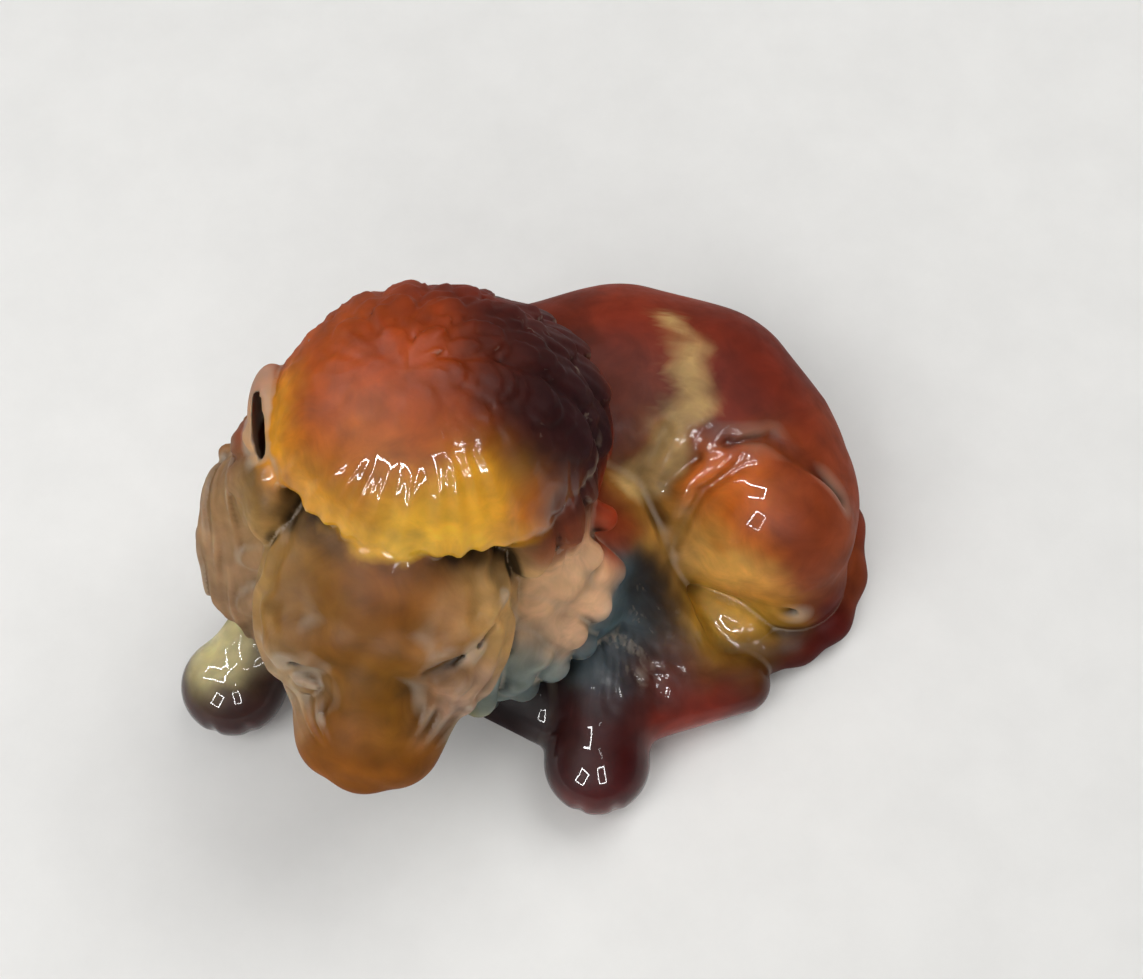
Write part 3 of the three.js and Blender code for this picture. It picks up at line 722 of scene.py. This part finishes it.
def polished(p):
    """How polished the glass is, from 0 where it is satin to 1: the cap's front and the named places."""
    on_cap = (1 - ease(np.abs(ball(p, CAP, CAP_RADII)), 1.6, 2.6)) * ease(above_fringe(p), -0.5, 0.5)
    shine = on_cap * ease(-p[:, 1], 21, 27)
    for _, place, reach in POLISHED:
        shine = np.maximum(shine, 1 - ease(length(p - np.array(place)), 0.55 * reach, reach))
    return shine


def hollowness(p, normals):
    """How deep each point lies between its neighbours, from 0 on open glass to 1 in a fold."""
    return clamp(1 - figure(p + FOLD_REACH * normals) / FOLD_REACH, 0, 1)


def edges(p, normals):
    """How sharply the glass stands out, from 0 where it is flat to 1 on a thin edge."""
    return clamp(1 + figure(p - EDGE_REACH * normals) / EDGE_REACH, 0, 1)


def store(mesh, name, values, kind):
    attribute = mesh.attributes.new(name, kind, "POINT")
    if kind == "FLOAT_COLOR":
        values = np.concatenate([values, np.ones((len(values), 1))], 1)
        attribute.data.foreach_set("color", values.astype(np.float32).ravel())
    else:
        attribute.data.foreach_set("value", values.astype(np.float32))


def at_points(mesh, name):
    """A value of three numbers at each of the mesh's points."""
    values = np.empty(len(mesh.vertices) * 3, np.float32)
    mesh.vertices.foreach_get(name, values)
    return values.reshape(-1, 3)


def finish_surface(mesh, offset):
    """Stores colour, polish, folds (for painted shade) and edges (for painted sheen) on the mesh's points,
    and moves them to their place.
    """
    p = at_points(mesh, "co")
    normals = at_points(mesh, "normal")
    store(mesh, "tint", clamp(painted(p), 0.002, 1), "FLOAT_COLOR")
    store(mesh, "polish", polished(p), "FLOAT")
    store(mesh, "fold", hollowness(p, normals), "FLOAT")
    store(mesh, "edge", edges(p, normals), "FLOAT")
    mesh.vertices.foreach_set("co", ((p + offset) * MM).astype(np.float32).ravel())
    mesh.polygons.foreach_set("use_smooth", np.ones(len(mesh.polygons), bool))
    mesh.update()


def placed(points):
    """The move that puts the mesh where the CAD solid is."""
    low, high = (np.array(corner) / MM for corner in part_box("lion"))
    offset = (low + high) / 2 - (points.min(0) + points.max(0)) / 2
    offset[2] = low[2] - points[:, 2].min()
    return offset


def cast_lion():
    points, quads = surface(CELL)
    mesh = bpy.data.meshes.new("cast_lion")
    mesh.from_pydata(points.tolist(), [], quads.tolist())
    piece = bpy.data.objects.new("cast_lion", mesh)
    bpy.context.scene.collection.objects.link(piece)
    thinned(piece, TRIANGLES)
    offset = placed(points)
    finish_surface(piece.data, offset)
    piece.data.materials.append(glass())
    return piece, offset


class Nodes:
    """Short ways to make a material's nodes."""

    def __init__(self, name):
        self.material = bpy.data.materials.new(name)
        self.material.use_nodes = True
        self.tree = self.material.node_tree
        self.shader = self.tree.nodes["Principled BSDF"]

    def add(self, kind, **settings):
        node = self.tree.nodes.new(kind)
        for key, value in settings.items():
            setattr(node, key, value)
        return node

    def link(self, source, target):
        self.tree.links.new(source, target)

    def put(self, source, socket):
        """Sets the socket to a number or a colour, or links a node's output to it."""
        if isinstance(source, (int, float, tuple)):
            socket.default_value = source
        else:
            self.link(source, socket)

    def attribute(self, name):
        return self.add("ShaderNodeAttribute", attribute_name=name)

    def ramp(self, source, low, high, to_low, to_high):
        node = self.add("ShaderNodeMapRange")
        for value, socket in zip((low, high, to_low, to_high), node.inputs[1:5]):
            socket.default_value = value
        self.link(source, node.inputs[0])
        return node.outputs[0]

    def noise(self, scale, detail=3, roughness=0.5, distortion=0):
        coordinates = self.add("ShaderNodeTexCoord")
        node = self.add("ShaderNodeTexNoise")
        self.link(coordinates.outputs["Object"], node.inputs["Vector"])
        settings = {"Scale": scale, "Detail": detail, "Roughness": roughness, "Distortion": distortion}
        for key, value in settings.items():
            node.inputs[key].default_value = value
        return node.outputs["Fac"]

    def maths(self, operation, a, b):
        node = self.add("ShaderNodeMath", operation=operation)
        self.put(a, node.inputs[0])
        self.put(b, node.inputs[1])
        return node.outputs[0]

    def mix(self, factor, a, b, kind="MIX"):
        node = self.add("ShaderNodeMix", data_type="RGBA", blend_type=kind)
        for source, index in ((factor, 0), (a, 6), (b, 7)):
            self.put(source, node.inputs[index])
        return node.outputs[2]


def glass():
    """Cast glass with painted shade darkening its folds and a painted sheen paling its thin edges, and a
    clear coat where it is polished.
    """
    n = Nodes("cast_glass")
    tint = n.attribute("tint").outputs["Color"]
    polish = n.attribute("polish").outputs["Fac"]
    fold = n.attribute("fold").outputs["Fac"]
    edge = n.attribute("edge").outputs["Fac"]
    swirl = n.ramp(n.noise(130, 5, 0.6, 1.2), 0.3, 0.7, 0.78, 1.2)
    swirled = n.mix(1.0, tint, swirl, "MULTIPLY")
    # Painted shade: the colour is darkened in the folds, less so on polished glass
    fold_shade_amount = n.maths("MULTIPLY", fold, n.ramp(polish, 0, 1, 1, 0.5))
    shade = n.ramp(fold_shade_amount, 0.15, 0.85, 1.0, 0.2)
    deep = n.mix(1.0, swirled, shade, "MULTIPLY")
    # Painted sheen: pale colour on the thin edges, less on polished glass
    edge_sheen = n.maths("MULTIPLY", n.ramp(edge, 0.15, 0.55, 0, 0.5), n.ramp(polish, 0, 1, 1, 0.1))
    n.link(n.mix(edge_sheen, deep, PAINTED_SHEEN), n.shader.inputs["Base Color"])
    n.link(n.ramp(n.noise(420, 3), 0.3, 0.7, 0.42, 0.56), n.shader.inputs["Roughness"])
    n.link(polish, n.shader.inputs["Coat Weight"])
    plain = {
        "IOR": 1.52, "Transmission Weight": 0.15, "Subsurface Weight": 0.3, "Subsurface Scale": 0.003,
        "Specular IOR Level": 0.015, "Coat Roughness": 0.035, "Coat IOR": 1.3,
    }
    for name, value in plain.items():
        n.shader.inputs[name].default_value = value
    n.shader.inputs["Subsurface Radius"].default_value = (1.0, 0.35, 0.12)
    bump = n.add("ShaderNodeBump")
    bump.inputs["Strength"].default_value = 0.25
    bump.inputs["Distance"].default_value = 0.0004
    ripple = n.maths("ADD", n.noise(260, 4, 0.55), n.maths("MULTIPLY", n.noise(900, 2), 0.3))
    n.link(ripple, bump.inputs["Height"])
    n.link(bump.outputs["Normal"], n.shader.inputs["Normal"])
    return n.material


def floor_finish():
    n = Nodes("pale_floor")
    mottle = n.ramp(n.noise(60, 6, 0.6), 0.35, 0.65, 0.96, 1.0)
    n.link(n.mix(1.0, mottle, FLOOR_COLOUR, "MULTIPLY"), n.shader.inputs["Base Color"])
    n.shader.inputs["Roughness"].default_value = 0.7
    return n.material


def floor():
    mesh = bpy.data.meshes.new("floor")
    corners = [(x * FLOOR_HALF, y * FLOOR_HALF, 0) for x, y in ((-1, -1), (1, -1), (1, 1), (-1, 1))]
    mesh.from_pydata(corners, [], [(0, 1, 2, 3)])
    piece = bpy.data.objects.new("floor", mesh)
    piece.data.materials.append(floor_finish())
    bpy.context.scene.collection.objects.link(piece)


def direction(azimuth, elevation):
    """A unit vector: azimuth 0 is the viewer's side, 90 the rump's."""
    a, e = np.radians([azimuth, elevation])
    return Vector((np.sin(a) * np.cos(e), -np.cos(a) * np.cos(e), np.sin(e)))


def aimed(thing, place, target):
    thing.location = place
    thing.rotation_euler = (target - place).to_track_quat("-Z", "Y").to_euler()
    bpy.context.scene.collection.objects.link(thing)


def panel(name, middle, size, watts, target):
    """A rectangular light at a place, turned to face a target."""
    light = bpy.data.lights.new(name, "AREA")
    light.shape = "RECTANGLE"
    light.size, light.size_y = size
    light.energy = watts
    thing = bpy.data.objects.new(name, light)
    aimed(thing, middle, target)
    return thing


def softbox(name, azimuth, elevation, size, watts):
    """A large soft light that leaves no reflection of its own in the glass."""
    target = Vector(LIGHTS_AIM)
    panel(name, target + direction(azimuth, elevation), size, watts, target).visible_glossy = False


def window(name, azimuth, elevation, width, height):
    """The bright frame of a window, which is seen only as a reflection in the glass."""
    target = Vector(LIGHTS_AIM)
    middle = target + direction(azimuth, elevation)
    facing = (target - middle).to_track_quat("-Z", "Y")
    bar = WINDOW_BAR * width
    for side, (x, y), size in (
        ("left", (-0.5, 0), (bar, height + bar)),
        ("right", (0.5, 0), (bar, height + bar)),
        ("top", (0, 0.5), (width, bar)),
        ("bottom", (0, -0.5), (width, bar)),
    ):
        place = middle + facing @ Vector((x * width, y * height, 0))
        watts = WINDOW_GLOW * np.pi * size[0] * size[1]
        strip = panel(f"{name}_{side}", place, size, watts, target)
        strip.rotation_euler = facing.to_euler()
        strip.visible_diffuse = False


def room():
    """Dim walls and a darker ceiling, so that steep glass looks paler than level glass."""
    world = bpy.data.worlds.new("room")
    world.use_nodes = True
    tree = world.node_tree
    height = tree.nodes.new("ShaderNodeSeparateXYZ")
    tree.links.new(tree.nodes.new("ShaderNodeTexCoord").outputs["Generated"], height.inputs[0])
    shade = tree.nodes.new("ShaderNodeMapRange")
    for value, socket in zip((0.0, 0.5, 0.36, 0.02), shade.inputs[1:5]):
        socket.default_value = value
    tree.links.new(height.outputs["Z"], shade.inputs[0])
    background = tree.nodes["Background"]
    tree.links.new(shade.outputs[0], background.inputs["Strength"])
    background.inputs["Color"].default_value = (0.95, 0.97, 1.0, 1)
    bpy.context.scene.world = world


def lights():
    softbox("softbox_left", -60, 50, (0.6, 0.6), 4.1)
    softbox("softbox_front", -5, 40, (0.6, 0.5), 1.8)
    softbox("softbox_back", 140, 52, (0.8, 0.6), 6.2)
    softbox("ceiling", 0, 85, (1.0, 1.0), 1.8)
    window("front_window_left", -36, 37, 0.28, 0.46)
    window("front_window_right", 14, 48, 0.22, 0.46)
    window("side_window", -109, 54, 0.4, 0.8)
    window("skylight", 30, 76, 0.03, 0.2)
    room()


def camera(offset):
    lens = bpy.data.cameras.new("camera")
    lens.lens = CAMERA_LENS
    lens.sensor_width = 36
    lens.clip_start = 0.01
    thing = bpy.data.objects.new("camera", lens)
    target = Vector((np.array(CAMERA_TARGET) + offset) * MM)
    aimed(thing, target + CAMERA_DISTANCE * MM * direction(0, CAMERA_ELEVATION), target)
    bpy.context.scene.camera = thing


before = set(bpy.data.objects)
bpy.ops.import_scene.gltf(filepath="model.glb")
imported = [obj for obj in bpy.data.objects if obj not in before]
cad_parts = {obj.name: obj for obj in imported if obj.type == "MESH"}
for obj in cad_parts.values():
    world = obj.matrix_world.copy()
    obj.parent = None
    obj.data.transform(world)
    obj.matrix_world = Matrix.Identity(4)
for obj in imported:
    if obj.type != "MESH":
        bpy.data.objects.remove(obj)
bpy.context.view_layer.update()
lion, offset = cast_lion()
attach(lion, "root")
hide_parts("lion")
floor()
lights()
camera(offset)
bpy.context.scene.view_settings.view_transform = "Standard"
